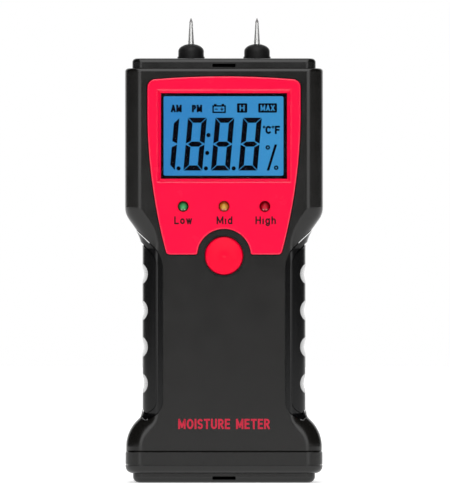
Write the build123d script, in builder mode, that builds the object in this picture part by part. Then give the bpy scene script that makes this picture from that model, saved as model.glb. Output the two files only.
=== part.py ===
from build123d import *
import os
from math import asin, degrees, radians, tan

# Hand-held two-pin moisture meter, in millimetres.
# The origin is the centre of the base, +Z runs up along the pins, and the display faces -Y.

os.makedirs("parts", exist_ok=True)

# ---- Body: a narrow waist between a wide head and a flared foot ----
head_width = 60.2
waist_width = 49.6
foot_width = 59.6
body_depth = 28.0
edge_radius = 5.0
top_edge_radius = 1.0
wall = 2.0

base_spigot_height = 2.9
band_height = 6.66
flare_height = 11.04        # from the shells' bottom to the waist
waist_length = 53.65
shoulder_rise = 7.45
head_height = 44.3
top_spigot_height = 3.0

foot_blend = 11.0
waist_foot_blend = 1.5
waist_shoulder_blend = 10.0
shoulder_blend = 6.5

head_half = head_width / 2
waist_half = waist_width / 2
foot_half = foot_width / 2
front_y = -body_depth / 2
back_y = body_depth / 2
body_base = base_spigot_height + band_height
waist_bottom = body_base + flare_height
waist_top = waist_bottom + waist_length
head_bottom = waist_top + shoulder_rise
head_top = head_bottom + head_height
block_top = head_top + top_spigot_height
flare_corner = waist_bottom - (foot_half - waist_half)      # the flare leaves the waist at 45 degrees
beyond = 10.0               # how far cutting shapes run past the body
seam_width = 0.3
seam_depth = 0.3
fit_gap = 0.15
part_gap = 0.05             # face to face clearance between stacked pieces
touch = 0.01                # how near a level an edge counts as lying on it

# ---- Rooms inside the two shells, from the bottom up ----
foot_room_drop = 3.6        # the foot's room ends this far below the waist
board_end_gap = 1.0
core_rise = 4.0             # the narrow core runs this far past the waist's top
waist_room_rise = 1.4
waist_room_lap = 1.0
head_room_rise = 3.0
head_room_step = 2.4

# ---- Soft side inserts ----
grip_front_lap = 6.1        # how far an insert wraps on to the front face from the waist's side
grip_top_drop = 5.25        # from the waist's top to the corner of the insert's upper edge
grip_top_angle = 43.0
grip_top_blend = 9.6
grip_low_rise = 1.3         # from the waist's bottom to the corner of the insert's lower edge
grip_low_angle = 29.0
grip_low_reach = 5.2
grip_low_tip_angle = 43.0
grip_low_blend = 5.5
grip_tip_blend = 0.8
grip_depth = 2.2
grip_gap = 0.25             # visible line round an insert
grip_backing = 1.8          # shell wall behind an insert
bead_width = 1.4
bead_height = 0.3
bead_groove_width = 0.4
bead_groove_depth = 0.35
scoop_count = 4
scoop_pitch = 11.1
scoop_height = 5.9
scoop_side_depth = 0.35     # of a finger scoop in the middle of the side
scoop_corner_depth = 1.0    # of the same scoop where the front edge's rounding starts
peg_radius = 1.15
peg_heights = (13.4, 39.4)  # above the waist's bottom
peg_spread = 5.0
peg_reach = 0.8             # how far a peg's end stands inside the housing
peg_root = 0.4              # how far a peg runs into its insert

grip_inner = waist_half - grip_front_lap
grip_top_corner = waist_top - grip_top_drop
grip_low_corner = waist_bottom + grip_low_rise
first_scoop = waist_bottom + 9.6
waist_cavity_half = waist_half - grip_depth - grip_backing
waist_cavity_y = body_depth / 2 - grip_depth - grip_backing
core_half = grip_inner - wall

# ---- Fascia, window and display ----
fascia_top_drop = 2.5       # from the head's top to the top of the fascia's arched edge
fascia_top_sag = 1.05
fascia_side_margin = 6.8    # from the head's side to the fascia's side
fascia_side_straight = 10.0
fascia_low_half = 17.4
fascia_low_drop = 4.9       # from the waist's top to the fascia's lower edge
fascia_side_bow = 1.45
fascia_corner = 2.5
fascia_low_corner = 1.3
fascia_arch_corner = 0.7
fascia_proud = 0.2
fascia_recess = 2.0
fascia_gap = 0.35
fascia_edge_radius = 0.4
fascia_floor = 1.6          # shell wall left behind the fascia

window_width = 38.3
window_height = 26.0
window_bevel = 1.1
window_rim_radius = 0.3
window_drop = 20.6          # from the head's top to the window's centre
lens_margin = 1.5           # how far the lens runs past the window on each side
lens_thickness = 1.0
lcd_margin = 0.3
lcd_thickness = 2.0
backlight_thickness = 2.6
backlight_gap = 1.0         # between the light guide and the connector strip
connector_height = 2.0
connector_inset = 1.0
holder_wall = 2.05
holder_floor = 1.3

fascia_half = head_half - fascia_side_margin
fascia_top = head_top - fascia_top_drop
fascia_low = waist_top - fascia_low_drop
window_z = head_top - window_drop
recess_y = front_y + fascia_recess
floor_y = recess_y + fascia_floor
lcd_front_y = recess_y + 0.1
lcd_back_y = lcd_front_y + lcd_thickness
lcd_width = window_width + 2 * lcd_margin
lcd_height = window_height + 2 * lcd_margin
backlight_back_y = lcd_back_y + backlight_thickness

# ---- Circuit board and what it carries ----
board_drop = 5.4            # from the fascia's floor to the board's front
board_thickness = 1.6
board_top_drop = 5.5
board_top_half = 21.5
board_head_half = 26.6
board_tongue_half = 16.0
board_shoulder_rise = 2.8
board_neck_drop = 15.0
board_tongue_drop = 14.2    # from the waist's top to the tongue's lower end
board_y = floor_y + board_drop
board_back_y = board_y + board_thickness
board_top = head_top - board_top_drop
board_neck = head_top - board_neck_drop
board_shoulder = head_bottom + board_shoulder_rise
board_bottom = waist_top - board_tongue_drop

led_radius = 1.5
led_hole_radius = 1.65
led_flange_radius = 1.9
led_flange_height = 1.0
led_flange_y = floor_y + 2.0
led_tip_depth = 0.0         # how far the domes sit below the shell's front
led_pitch = 12.4
led_rise = 2.3              # above the shoulder's top
led_z = head_bottom + led_rise
lead_radius = 0.25
lead_pitch = 2.54
led_ring_radius = 1.95
led_ring_depth = 0.3

chip_corner = 0.4
board_details = {           # place from the window's centre, size, height
    "mcu_chip": ((0, -6.0), (10.0, 10.0), 1.4),
    "clock_crystal": ((11.0, -6.0), (2.4, 7.0), 2.2),
    "temperature_sensor": ((-18.0, 10.0), (2.2, 3.0), 1.6),
    "beeper": ((-13.0, -8.0), (9.0, 9.0), 3.0),
}
resistor_size = (2.0, 1.2)
resistor_height = 0.6
resistor_groups = (         # place from the window's centre, pitch, count
    ((16.5, 4.0), (3.0, 2.6), (2, 4)),
    ((0, -20.7), (3.2, 2.6), (5, 2)),
)

button_radius = 5.7
button_gap = 0.25
button_well_gap = 0.8       # the dark ring round the button
button_well_depth = 1.6
button_arch = 8.15
button_proud = 1.0
button_dome = 0.7
button_edge_radius = 0.6
button_flange_radius = 7.6
button_flange_height = 1.0
button_travel = 0.5
button_drop = 5.25          # from the waist's top to the button's centre
button_z = waist_top - button_drop
button_stop_y = floor_y + part_gap
button_back_y = button_stop_y + button_flange_height
button_top_y = front_y - button_proud

switch_size = 6.0
switch_height = 3.0
plunger_radius = 1.7
plunger_gap = 0.05
plunger_depth = 1.0
switch_front_y = board_y - switch_height

board_screw_x = 24.2
board_screw_rises = (5.8, 25.8)         # above the shoulder's top
board_boss_radius = 2.2
board_screw_radius = 0.95
board_screw_length = 4.6
board_screw_head_radius = 1.9
board_screw_head_height = 1.4
board_screw_end_gap = 0.4
board_screw_drive = (2.2, 0.6, 0.5)     # cross recess: length, depth, width

# ---- Housing screws ----
screw_radius = 1.15
screw_pilot_gap = 0.05
screw_clearance = 0.2
screw_head_radius = 2.3
screw_head_height = 1.8
screw_seat_depth = 9.0      # how deep the heads sit below the back face
screw_bite = 6.0            # thread length in the front shell
screw_end_gap = 0.5
screw_drive = (2.6, 0.8, 0.6)
rear_boss_radius = 3.3
front_boss_radius = 2.8
counterbore_radius = 2.5
upper_screw_inset = 5.2
upper_screw_drop = 9.0
boss_overlap = 0.4          # how far the lower bosses merge into the battery compartment's walls
lower_screw_rise = 6.2

# ---- Electrodes ----
pin_spacing = 20.1
pin_radius = 0.95
pin_shoulder_radius = 0.5
pin_tip_radius = 0.06
pin_length = 7.9            # above the cap's top
pin_point_length = 1.2
pin_shank_radius = 1.25
pin_shank_length = 5.0
pin_collar_radius = 2.4
pin_collar_height = 0.7
cap_flange_radius = 4.15
cap_flange_height = 0.7
cap_radius = 3.9
cap_straight = 1.6
cap_dome = 2.3
cap_stub_radius = 2.8
cap_stub_length = 2.6
cap_bore_gap = 0.12
running_gap = 0.07
socket_radius = 2.2
socket_length = 6.1
socket_gap = 0.05
socket_tail_radius = 0.5
socket_tail_length = 2.0
electrode_lead_straight = 3.0
electrode_lead_fall = 6.0
electrode_lead_bend = 0.9
block_half = 27.9
block_inset = 2.2           # the block stands this far inside the body's front and back
block_corner = 3.0
block_edge_radius = 1.2
neck_half = 25.6
neck_y = 9.0
flange_half = 27.0
flange_y = 10.1
flange_height = 2.5
slot_width = 7.0
slot_height = 1.0
slot_depth = 3.0
slot_rise = 0.35
base_slot_rise = 0.95
pin_x = pin_spacing / 2
stub_floor = block_top - cap_stub_length
socket_top = stub_floor - pin_collar_height - 2 * part_gap
block_bottom = head_top - wall - part_gap - flange_height
cap_top = block_top + cap_flange_height + cap_straight + cap_dome

# ---- Base ----
base_spigot_half = 27.7
base_spigot_inset = 2.3
base_corner = 3.0
base_spigot_edge = 1.9
band_proud = 0.2
band_low_radius = 2.2
band_crease_rise = 2.56
band_crease_width = 0.45
band_crease_depth = 0.4
groove_chamfer = 0.3
base_floor = 2.2
base_hollow_half = 25.5
base_hollow_y = 9.5
base_hook_to_lead = 5.4     # the negative lead comes down beside the hook's head
base_hook_size = (5.0, 12.0)
base_hook_lip = 0.8
base_hook_head = 1.3

# ---- Battery compartment: three cells side by side ----
cell_radius = 5.2
cell_length = 44.5
cell_nub_radius = 1.9
cell_nub_height = 1.2
cell_edge_radius = 0.5
cell_count = 3
cell_gap = 0.5
cell_back_gap = 0.6
cell_front_gap = 0.3
contact_thickness = 0.4
contact_half = 4.0
contact_corner = 1.0
spring_height = 4.5
spring_wire = 0.3
spring_radius = 3.0
spring_pitch = 1.1
compartment_wall = 1.2
compartment_rise = 4.64     # floor of the compartment above the shells' bottom
compartment_margin = 0.4
door_thickness = 1.5
door_gap = 0.15
door_corner = 0.4
door_rise = 2.8             # door's lower edge above the compartment's floor
door_overlap = 0.5
door_rib_count = 4
door_rib_pitch = 1.8
door_rib_height = 0.35
door_rib_size = (12.0, 0.8)
door_rib_drop = 10.0        # from the door's upper edge to the middle of its ribs
hook_stem_rise = 0.3        # from the door's lower edge to the stem of a hook
hook_stem_height = 2.0
hook_reach = 1.6            # how far a hook's tongue hangs below its stem
hook_half = 1.2
hook_thickness = 1.2
hook_gap = 0.1
thumb_radius = 14.0         # ball that sinks the thumb notch over the door's upper edge
thumb_depth = 0.9
thumb_rise = 1.0

cell_pitch = 2 * cell_radius + cell_gap
cell_places = [(i - (cell_count - 1) / 2) * cell_pitch for i in range(cell_count)]
base_hook_x = cell_places[-1] - base_hook_to_lead
compartment_half = cell_places[-1] + cell_radius + compartment_margin
compartment_low = body_base + compartment_rise
compartment_length = cell_length + spring_height + 2 * contact_thickness
compartment_high = compartment_low + compartment_length
door_inner_y = back_y - door_thickness
cell_y = door_inner_y - cell_back_gap - cell_radius
compartment_floor_y = cell_y - cell_radius - cell_front_gap
door_half = compartment_half + door_overlap
door_low = compartment_low + door_rise
door_high = compartment_high + compartment_wall
hook_x = cell_pitch / 2
wire_radius = 0.55
wire_bend = 1.1
lead_drop = 1.9             # of the negative lead below the compartment
lead_climb = (5.0, 10.0)    # of the positive lead above the compartment: straight, and at the board
lead_board_gap = (2.5, 1.6)             # how far behind the board the two leads turn to it
lead_board_rise = 5.0

# ---- Places of the screws, as (x, z) in front view ----
screw_seat_y = back_y - screw_seat_depth
upper_screw = (head_half - upper_screw_inset, head_top - upper_screw_drop)
lower_screw_x = compartment_half + compartment_wall + rear_boss_radius - boss_overlap
lower_screw = (lower_screw_x, body_base + lower_screw_rise)
housing_screws_at = [(side * x, z) for side in (-1, 1) for x, z in (upper_screw, lower_screw)]
board_screws_at = [
    (side * board_screw_x, head_bottom + rise) for side in (-1, 1) for rise in board_screw_rises
]


# ---- Planes and levels ----
def facing_front(y):
    """The plane across the body at a depth, its normal pointing at the user."""
    return Plane.XZ.offset(-y)


def save(piece, name):
    """Label a finished piece and write its file."""
    piece.part.label = name
    export_step(piece.part, f"parts/{name}.step")


# ---- Envelopes shared by the shells and the inserts ----
def body_outline(inset=0.0):
    """Front view of the two shells, inset by a distance."""
    with BuildSketch(Plane.XZ) as outline:
        with BuildLine():
            FilletPolyline(
                (0, body_base),
                (foot_half, body_base),
                (foot_half, flare_corner),
                (waist_half, waist_bottom),
                (waist_half, waist_top),
                (head_half, head_bottom),
                (head_half, head_top),
                (0, head_top),
                radius=[0, foot_blend, waist_foot_blend, waist_shoulder_blend, shoulder_blend, 0],
            )
            mirror(about=Plane.YZ)
        make_face()
        if inset:
            offset(amount=-inset, kind=Kind.INTERSECTION)
    return outline.sketch


def body_block(inset=0.0):
    """The closed envelope of both shells with its long edges rounded, inset all round."""
    with BuildPart() as block:
        extrude(body_outline(inset), amount=body_depth / 2 - inset, both=True)
        ends = (body_base + inset, head_top - inset)
        outline_edges = block.faces().filter_by(Axis.Y).edges()
        long_edges = outline_edges.filter_by(
            lambda edge: min(abs(edge.center().Z - z) for z in ends) > touch
        )
        fillet(long_edges, radius=edge_radius - inset)
    return block.part


def grip_outline(spread=0.0):
    """Front view of the right-hand insert, spread by a distance and run out past the body's side."""
    reach = head_half + beyond
    top_z = grip_top_corner + (reach - grip_inner) * tan(radians(grip_top_angle))
    low_x = grip_inner + grip_low_reach
    low_z = grip_low_corner - grip_low_reach * tan(radians(grip_low_angle))
    tip_x = waist_half + beyond
    tip_z = low_z + (tip_x - low_x) * tan(radians(grip_low_tip_angle))
    with BuildSketch(Plane.XZ) as outline:
        with BuildLine():
            FilletPolyline(
                (reach, tip_z),
                (reach, top_z),
                (grip_inner, grip_top_corner),
                (grip_inner, grip_low_corner),
                (low_x, low_z),
                (tip_x, tip_z),
                close=True,
                radius=[0, 0, grip_top_blend, grip_low_blend, grip_tip_blend, 0],
            )
        make_face()
        if spread:
            offset(amount=spread, kind=Kind.INTERSECTION)
    return outline.sketch


def grip_layer(spread, outer_inset, inner_inset):
    """The part of the insert's space that lies between two insets of the body, right-hand side."""
    with BuildPart() as layer:
        extrude(grip_outline(spread), amount=body_depth, both=True)
        if outer_inset is not None:
            add(body_block(outer_inset), mode=Mode.INTERSECT)
        add(body_block(inner_inset), mode=Mode.SUBTRACT)
    return layer.part


def peg_locations():
    """Centres of the insert's pegs, on planes that face along +X."""
    return [
        Location((waist_cavity_half - peg_reach, side * peg_spread, waist_bottom + height), (0, 90, 0))
        for height in peg_heights
        for side in (-1, 1)
    ]


def both_sides(shape):
    """A right-hand shape with its mirror image on the left."""
    with BuildPart() as pair:
        add(shape)
        mirror(shape, about=Plane.YZ)
    return pair.part


# ---- Housing: what the two shells share before they are split at the seam ----
def housing():
    pocket = grip_layer(grip_gap, None, grip_depth + part_gap)
    with BuildPart() as seam:
        with Locations((0, 0, head_top / 2)):
            Box(4 * head_half, seam_width, 2 * head_top)
        add(body_block(seam_depth), mode=Mode.SUBTRACT)
    with BuildPart() as body:
        add(body_block())
        fillet(body.faces().sort_by(Axis.Z)[-1].edges(), radius=top_edge_radius)
        chamfer(body.faces().sort_by(Axis.Z)[0].edges(), length=groove_chamfer)
        add(seam.part, mode=Mode.SUBTRACT)
        add(both_sides(pocket), mode=Mode.SUBTRACT)
        board_level = board_bottom - board_end_gap
        waist_levels = (waist_bottom + waist_room_rise, waist_top + waist_room_lap)
        rooms = (
            (base_hollow_half, recess_y, back_y - wall, body_base + wall, waist_bottom - foot_room_drop),
            (core_half, recess_y, back_y - wall, body_base + wall, board_level),
            (core_half, floor_y, back_y - wall, board_level, waist_top + core_rise),
            (waist_cavity_half, -waist_cavity_y, waist_cavity_y, *waist_levels),
        )
        for half, y_front, y_back, low, high in rooms:
            with Locations((0, (y_front + y_back) / 2, (low + high) / 2)):
                Box(2 * half, y_back - y_front, high - low, mode=Mode.SUBTRACT)
        with BuildSketch(facing_front(back_y - wall)):
            with BuildLine():
                Polyline(
                    (-waist_cavity_half, waist_top + head_room_rise),
                    (waist_cavity_half, waist_top + head_room_rise),
                    (head_half - wall, head_bottom + head_room_step),
                    (head_half - wall, head_top - wall),
                    (wall - head_half, head_top - wall),
                    (wall - head_half, head_bottom + head_room_step),
                    close=True,
                )
            make_face()
        extrude(amount=back_y - wall - floor_y, mode=Mode.SUBTRACT)
        # opening for the electrode block's neck
        with BuildSketch(Plane.XY.offset(head_top)):
            RectangleRounded(2 * (neck_half + fit_gap), 2 * (neck_y + fit_gap), block_corner)
        extrude(amount=-wall, mode=Mode.SUBTRACT)
        # openings for the base's two hooks
        with BuildSketch(Plane.XY.offset(body_base)):
            with Locations((-base_hook_x, 0), (base_hook_x, 0)):
                Rectangle(base_hook_size[0] + 2 * fit_gap, base_hook_size[1] + 2 * fit_gap)
        extrude(amount=wall, mode=Mode.SUBTRACT)
        # holes for the inserts' pegs
        for side in (-1, 1):
            for place in peg_locations():
                x, y, z = place.position
                with Locations(Location((side * x, y, z), (0, side * 90, 0))):
                    Cylinder(
                        peg_radius + fit_gap,
                        beyond / 2,
                        align=(Align.CENTER, Align.CENTER, Align.MIN),
                        mode=Mode.SUBTRACT,
                    )
    return body.part


def fascia_outline(spread=0.0):
    """Front view of the fascia, spread by a distance: arched top, bowed sides, arch round the button."""
    side_top = fascia_top - fascia_top_sag
    side_low = side_top - fascia_side_straight
    middle = ((fascia_half + fascia_low_half) / 2 + fascia_side_bow, (side_low + fascia_low) / 2)
    with BuildSketch(Plane.XZ) as outline:
        with BuildLine():
            top = ThreePointArc((-fascia_half, side_top), (0, fascia_top), (fascia_half, side_top))
            Line(top @ 1, (fascia_half, side_low))
            ThreePointArc((fascia_half, side_low), middle, (fascia_low_half, fascia_low))
            Line((fascia_low_half, fascia_low), (-fascia_low_half, fascia_low))
            ThreePointArc(
                (-fascia_low_half, fascia_low), (-middle[0], middle[1]), (-fascia_half, side_low)
            )
            Line((-fascia_half, side_low), top @ 0)
        make_face()
        fillet(outline.vertices().group_by(Axis.Y)[-1], radius=fascia_corner)
        fillet(outline.vertices().group_by(Axis.Y)[0], radius=fascia_low_corner)
        with Locations((0, button_z)):
            Circle(button_arch, mode=Mode.SUBTRACT)
        low_corners = outline.vertices().group_by(Axis.Y)[0]
        fillet(low_corners.filter_by(lambda v: abs(v.X) < button_arch), radius=fascia_arch_corner)
        if spread:
            offset(amount=spread, kind=Kind.INTERSECTION)
    return outline.sketch


def cylinders(radius, y_front, y_back, places):
    """Round bars along Y at the given front-view places."""
    with BuildPart() as bars:
        with BuildSketch(facing_front(y_back)):
            with Locations(*places):
                Circle(radius)
        extrude(amount=y_back - y_front)
    return bars.part


def slots(z_low, y_face):
    """The latch slots in the front and back of a spigot."""
    with BuildPart() as pair:
        for side in (-1, 1):
            with Locations((0, side * (y_face - slot_depth / 2 + beyond / 2), z_low + slot_height / 2)):
                Box(slot_width, slot_depth + beyond, slot_height)
    return pair.part


led_places = [(i * led_pitch, led_z) for i in (-1, 0, 1)]
common = housing()

# ---- Front shell ----
with BuildPart() as front_shell:
    add(common)
    split(bisect_by=Plane.XZ, keep=Keep.TOP)
    add(cylinders(front_boss_radius, floor_y - fascia_floor / 2, 0, housing_screws_at))
    add(cylinders(board_boss_radius, floor_y - fascia_floor / 2, board_y, board_screws_at))
    with BuildSketch(facing_front(recess_y)):
        add(fascia_outline(fascia_gap))
    extrude(amount=fascia_recess + beyond, mode=Mode.SUBTRACT)
    with BuildSketch(facing_front(floor_y)):
        with Locations((0, window_z)):
            Rectangle(lcd_width + 2 * fit_gap, lcd_height + 2 * fit_gap)
        with Locations(*led_places):
            Circle(led_hole_radius)
        with Locations((0, button_z)):
            Circle(button_radius + button_gap)
    extrude(amount=beyond, mode=Mode.SUBTRACT)
    with BuildSketch(facing_front(front_y + button_well_depth)):
        with Locations((0, button_z)):
            Circle(button_radius + button_well_gap)
    extrude(amount=beyond, mode=Mode.SUBTRACT)
    pilot_radius = screw_radius + screw_pilot_gap
    pilot_end_y = -screw_bite - screw_end_gap
    add(cylinders(pilot_radius, pilot_end_y, 0, housing_screws_at), mode=Mode.SUBTRACT)
    pilot_radius = board_screw_radius + screw_pilot_gap
    pilot_end_y = board_y - board_screw_length
    add(cylinders(pilot_radius, pilot_end_y, board_y, board_screws_at), mode=Mode.SUBTRACT)
save(front_shell, "front_shell")

# ---- Rear shell with the battery compartment ----
with BuildPart() as rear_shell:
    add(common)
    split(bisect_by=Plane.XZ, keep=Keep.BOTTOM)
    add(cylinders(rear_boss_radius, 0, back_y - wall / 2, housing_screws_at))
    compartment_z = (compartment_low + compartment_high) / 2
    with BuildSketch(facing_front(back_y - wall)):
        with Locations((0, compartment_z)):
            Rectangle(
                2 * (compartment_half + compartment_wall),
                compartment_length + 2 * compartment_wall,
            )
    extrude(amount=back_y - wall - compartment_floor_y + compartment_wall)
    with BuildSketch(facing_front(back_y - wall)):
        with Locations((0, compartment_z)):
            Rectangle(2 * compartment_half, compartment_length)
    extrude(amount=back_y - wall - compartment_floor_y, mode=Mode.SUBTRACT)
    with BuildSketch(facing_front(back_y)):
        with Locations((0, (door_low - door_gap + compartment_high) / 2)):
            Rectangle(2 * compartment_half, compartment_high - door_low + door_gap)
    extrude(amount=back_y - compartment_floor_y, mode=Mode.SUBTRACT)
    with BuildSketch(facing_front(back_y)):
        with Locations((0, (door_low + door_high) / 2)):
            Rectangle(2 * (door_half + door_gap), door_high - door_low + 2 * door_gap)
    extrude(amount=door_thickness + part_gap, mode=Mode.SUBTRACT)
    with Locations((0, back_y + thumb_radius - thumb_depth, door_high + thumb_rise)):
        Sphere(thumb_radius, mode=Mode.SUBTRACT)
    for x, z in housing_screws_at:
        with Locations(Location((x, back_y, z), (-90, 0, 0))):
            CounterBoreHole(
                radius=screw_radius + screw_clearance,
                counter_bore_radius=counterbore_radius,
                counter_bore_depth=screw_seat_depth,
                depth=body_depth / 2,
            )
    # passages for the two battery leads in the compartment's end walls
    with Locations(
        (cell_places[0], cell_y, compartment_high + compartment_wall / 2),
        (cell_places[-1], cell_y, compartment_low - compartment_wall / 2),
    ):
        Cylinder(wire_radius + fit_gap, 2 * compartment_wall, mode=Mode.SUBTRACT)
save(rear_shell, "rear_shell")

# ---- Fascia and its window ----
with BuildPart() as fascia:
    with BuildSketch(facing_front(recess_y)):
        add(fascia_outline())
    extrude(amount=fascia_recess + fascia_proud)
    fillet(fascia.faces().sort_by(Axis.Y)[0].edges(), radius=fascia_edge_radius)
    with BuildSketch(facing_front(recess_y)):
        with Locations((0, window_z)):
            Rectangle(window_width, window_height)
        with Locations(*led_places):
            Circle(led_hole_radius)
    extrude(amount=beyond, mode=Mode.SUBTRACT)
    rim_edges = fascia.faces().sort_by(Axis.Y)[0].edges()
    window_edges = rim_edges.filter_by(GeomType.LINE).filter_by(
        lambda edge: abs(edge.center().X) <= window_width / 2 + touch
        and abs(edge.center().Z - window_z) <= window_height / 2 + touch
    )
    chamfer(window_edges, length=window_bevel)
    bevel_edges = fascia.faces().sort_by(Axis.Y)[0].edges().filter_by(GeomType.LINE).filter_by(
        lambda edge: abs(edge.center().X) <= window_width / 2 + window_bevel + touch
        and abs(edge.center().Z - window_z) <= window_height / 2 + window_bevel + touch
    )
    fillet(bevel_edges, radius=window_rim_radius)
    with BuildSketch(facing_front(front_y - fascia_proud + led_ring_depth)):
        with Locations(*led_places):
            Circle(led_ring_radius)
    extrude(amount=beyond, mode=Mode.SUBTRACT)
    with BuildSketch(facing_front(recess_y)):
        with Locations((0, window_z)):
            Rectangle(
                window_width + 2 * (lens_margin + part_gap),
                window_height + 2 * (lens_margin + part_gap),
            )
    extrude(amount=lens_thickness, mode=Mode.SUBTRACT)
save(fascia, "fascia")

with BuildPart() as display_lens:
    with BuildSketch(facing_front(recess_y)):
        with Locations((0, window_z)):
            Rectangle(window_width + 2 * lens_margin, window_height + 2 * lens_margin)
    extrude(amount=lens_thickness)
save(display_lens, "display_lens")

# ---- Display stack ----
with BuildPart() as lcd_panel:
    with BuildSketch(facing_front(lcd_back_y)):
        with Locations((0, window_z)):
            Rectangle(lcd_width, lcd_height)
    extrude(amount=lcd_thickness)
save(lcd_panel, "lcd_panel")

backlight_height = lcd_height - connector_height - backlight_gap
with BuildPart() as lcd_backlight:
    with BuildSketch(facing_front(backlight_back_y)):
        with Locations((0, window_z + (lcd_height - backlight_height) / 2)):
            Rectangle(lcd_width, backlight_height)
    extrude(amount=backlight_thickness)
save(lcd_backlight, "lcd_backlight")

connector_z = window_z - lcd_height / 2 + connector_height / 2
with BuildPart() as zebra_strip:
    with BuildSketch(facing_front(board_y)):
        with Locations((0, connector_z)):
            Rectangle(lcd_width - 2 * connector_inset, connector_height)
    extrude(amount=board_y - lcd_back_y)
save(zebra_strip, "zebra_strip")

with BuildPart() as lcd_holder:
    with BuildSketch(facing_front(board_y)):
        with Locations((0, window_z)):
            Rectangle(lcd_width + 2 * (fit_gap + holder_wall), lcd_height + 2 * (fit_gap + holder_wall))
            Rectangle(lcd_width + 2 * fit_gap, lcd_height + 2 * fit_gap, mode=Mode.SUBTRACT)
    extrude(amount=board_y - floor_y - part_gap)
    with BuildSketch(facing_front(backlight_back_y + holder_floor)):
        with Locations((0, window_z)):
            Rectangle(lcd_width + 4 * fit_gap, lcd_height + 4 * fit_gap)
        with Locations((0, connector_z)):
            Rectangle(lcd_width, connector_height + 2 * fit_gap, mode=Mode.SUBTRACT)
    extrude(amount=holder_floor)
save(lcd_holder, "lcd_holder")

# ---- Circuit board ----
with BuildPart() as main_board:
    with BuildSketch(facing_front(board_back_y)):
        with BuildLine():
            Polyline(
                (0, board_bottom),
                (board_tongue_half, board_bottom),
                (board_tongue_half, board_shoulder),
                (board_head_half, board_shoulder),
                (board_head_half, board_neck),
                (board_top_half, board_neck),
                (board_top_half, board_top),
                (0, board_top),
            )
            mirror(about=Plane.YZ)
        make_face()
        with Locations(*board_screws_at):
            Circle(board_screw_radius + screw_clearance, mode=Mode.SUBTRACT)
    extrude(amount=board_thickness)
save(main_board, "main_board")

for detail_name, ((x, rise), size, height) in board_details.items():
    with BuildPart() as detail:
        with BuildSketch(facing_front(board_back_y + height)):
            with Locations((x, window_z + rise)):
                RectangleRounded(*size, radius=chip_corner)
        extrude(amount=height)
    save(detail, detail_name)

with BuildPart() as board_resistors:
    with BuildSketch(facing_front(board_back_y + resistor_height)):
        for (x, rise), pitches, counts in resistor_groups:
            with Locations((x, window_z + rise)):
                with GridLocations(*pitches, *counts):
                    Rectangle(*resistor_size)
    extrude(amount=resistor_height)
save(board_resistors, "board_resistors")

# ---- Three indicator lamps ----
led_names = ("led_low", "led_mid", "led_high")
for led_name, (led_x, _) in zip(led_names, led_places):
    tip_y = front_y + led_tip_depth
    with BuildPart() as led:
        with BuildSketch(Plane.XY.offset(led_z)):
            with BuildLine():
                dome = CenterArc((led_x, tip_y + led_radius), led_radius, -90, 90)
                Polyline(
                    dome @ 1,
                    (led_x + led_radius, led_flange_y - led_flange_height),
                    (led_x + led_flange_radius, led_flange_y - led_flange_height),
                    (led_x + led_flange_radius, led_flange_y),
                    (led_x, led_flange_y),
                    dome @ 0,
                )
            make_face()
        revolve(axis=Axis((led_x, 0, led_z), (0, 1, 0)))
        with BuildSketch(facing_front(board_y)):
            with Locations((led_x, led_z)):
                with GridLocations(lead_pitch, 1, 2, 1):
                    Circle(lead_radius)
        extrude(amount=board_y - led_flange_y + led_flange_height / 2)
    save(led, led_name)

# ---- Push button over a tactile switch ----
dome_radius = (button_radius**2 + button_dome**2) / (2 * button_dome)
with BuildPart() as power_button:
    with BuildSketch(Plane.XY.offset(button_z)):
        with BuildLine():
            dome_angle = degrees(asin(button_radius / dome_radius))
            cap = CenterArc((0, button_top_y + dome_radius), dome_radius, -90, dome_angle)
            Polyline(
                cap @ 1,
                (button_radius, button_stop_y),
                (button_flange_radius, button_stop_y),
                (button_flange_radius, button_back_y),
                (0, button_back_y),
                cap @ 0,
            )
        make_face()
    revolve(axis=Axis((0, 0, button_z), (0, 1, 0)))
    rims = power_button.edges().filter_by(GeomType.CIRCLE).filter_by(lambda edge: edge.is_closed)
    fillet(rims.sort_by(Axis.Y)[0], radius=button_edge_radius)
save(power_button, "power_button")

with BuildPart() as switch_body:
    with BuildSketch(facing_front(board_y)):
        with Locations((0, button_z)):
            RectangleRounded(switch_size, switch_size, radius=chip_corner)
    extrude(amount=switch_height)
    with BuildSketch(facing_front(switch_front_y)):
        with Locations((0, button_z)):
            Circle(plunger_radius + plunger_gap)
    extrude(amount=-(plunger_depth + button_travel + part_gap), mode=Mode.SUBTRACT)
save(switch_body, "switch_body")

with BuildPart() as switch_plunger:
    with BuildSketch(facing_front(switch_front_y + plunger_depth)):
        with Locations((0, button_z)):
            Circle(plunger_radius)
    extrude(amount=switch_front_y + plunger_depth - button_back_y - part_gap)
save(switch_plunger, "switch_plunger")

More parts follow.
